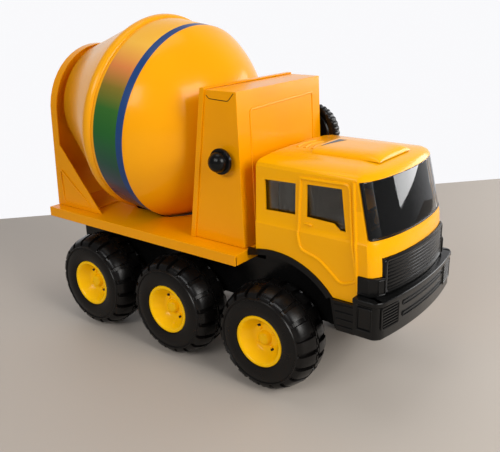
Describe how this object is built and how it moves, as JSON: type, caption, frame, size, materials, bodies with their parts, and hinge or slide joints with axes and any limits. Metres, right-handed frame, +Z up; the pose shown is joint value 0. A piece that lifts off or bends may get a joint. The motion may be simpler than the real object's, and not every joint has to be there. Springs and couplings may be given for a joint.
{
  "type": "toy concrete mixer truck",
  "caption": "Toy concrete mixer truck: pressed-steel bed, housing and turning drum, moulded cab with black front mouldings, rolling wheels and a side hand wheel that turns the drum.",
  "frame": {"origin": "on the floor, below the centre of the bounding box", "axes": "+X forward, +Y to the truck's left, +Z up"},
  "size_m": [0.4206, 0.212, 0.3341],
  "materials": {
    "steel_yellow": "glossy amber-yellow enamel on pressed steel",
    "drum_amber": "glossy amber enamel with a blue stripe and a banded decal without lettering",
    "cab_yellow": "glossy yellow moulded plastic",
    "rim_yellow": "lemon-yellow moulded plastic",
    "black_plastic": "black moulded plastic, semi-gloss",
    "tyre_black": "black moulded plastic tyre, semi-gloss",
    "clear_plastic": "clear moulded glazing",
    "axle_steel": "bright drawn steel rod"
  },
  "bodies": {
    "truck": {"bed_deck": "steel_yellow", "drum_bracket": "steel_yellow", "drum_housing": "steel_yellow", "housing_back_plate": "steel_yellow", "cab_shell": "cab_yellow", "chassis_frame": "black_plastic", "cab_floor": "black_plastic", "seat_unit": "black_plastic", "dashboard": "black_plastic", "steering_wheel": "black_plastic", "fender_right": "black_plastic", "fender_left": "black_plastic", "side_step_right": "black_plastic", "side_step_left": "black_plastic", "headlight_right": "black_plastic", "headlight_left": "black_plastic", "front_grille": "black_plastic", "front_bumper": "black_plastic", "windscreen": "clear_plastic", "side_glazing_right": "clear_plastic", "side_glazing_left": "clear_plastic", "axle_front": "axle_steel", "axle_middle": "axle_steel", "axle_rear": "axle_steel"},
    "wheel_front_right": {"tyre_front_right": "tyre_black", "rim_front_right": "rim_yellow"},
    "wheel_front_left": {"tyre_front_left": "tyre_black", "rim_front_left": "rim_yellow"},
    "wheel_middle_right": {"tyre_middle_right": "tyre_black", "rim_middle_right": "rim_yellow"},
    "wheel_middle_left": {"tyre_middle_left": "tyre_black", "rim_middle_left": "rim_yellow"},
    "wheel_rear_right": {"tyre_rear_right": "tyre_black", "rim_rear_right": "rim_yellow"},
    "wheel_rear_left": {"tyre_rear_left": "tyre_black", "rim_rear_left": "rim_yellow"},
    "drum": {"drum_front_bowl": "drum_amber", "drum_rear_cone": "drum_amber", "drum_spindle": "axle_steel"},
    "crank": {"cross_shaft": "axle_steel", "turning_knob": "black_plastic", "hand_wheel": "black_plastic"}
  },
  "joints": [
    {"name": "wheel_front_right_spin", "type": "hinge", "parent": "truck", "child": "wheel_front_right", "pos_m": [0.09125, -0.073, 0.052], "axis": [0, 1, 0], "continuous": true},
    {"name": "wheel_front_left_spin", "type": "hinge", "parent": "truck", "child": "wheel_front_left", "pos_m": [0.09125, 0.073, 0.052], "axis": [0, 1, 0], "continuous": true},
    {"name": "wheel_middle_right_spin", "type": "hinge", "parent": "truck", "child": "wheel_middle_right", "pos_m": [-0.02455, -0.073, 0.052], "axis": [0, 1, 0], "continuous": true},
    {"name": "wheel_middle_left_spin", "type": "hinge", "parent": "truck", "child": "wheel_middle_left", "pos_m": [-0.02455, 0.073, 0.052], "axis": [0, 1, 0], "continuous": true},
    {"name": "wheel_rear_right_spin", "type": "hinge", "parent": "truck", "child": "wheel_rear_right", "pos_m": [-0.14035, -0.073, 0.052], "axis": [0, 1, 0], "continuous": true},
    {"name": "wheel_rear_left_spin", "type": "hinge", "parent": "truck", "child": "wheel_rear_left", "pos_m": [-0.14035, 0.073, 0.052], "axis": [0, 1, 0], "continuous": true},
    {"name": "drum_spin", "type": "hinge", "parent": "truck", "child": "drum", "pos_m": [-0.05958, 0, 0.22213], "axis": [-0.9903, 0, 0.1392], "continuous": true},
    {"name": "crank_spin", "type": "hinge", "parent": "truck", "child": "crank", "pos_m": [0.03885, 0, 0.21], "axis": [0, 1, 0], "continuous": true}
  ],
  "couplings": [
    {"joint": "crank_spin", "follows": "drum_spin", "ratio": 2}
  ]
}
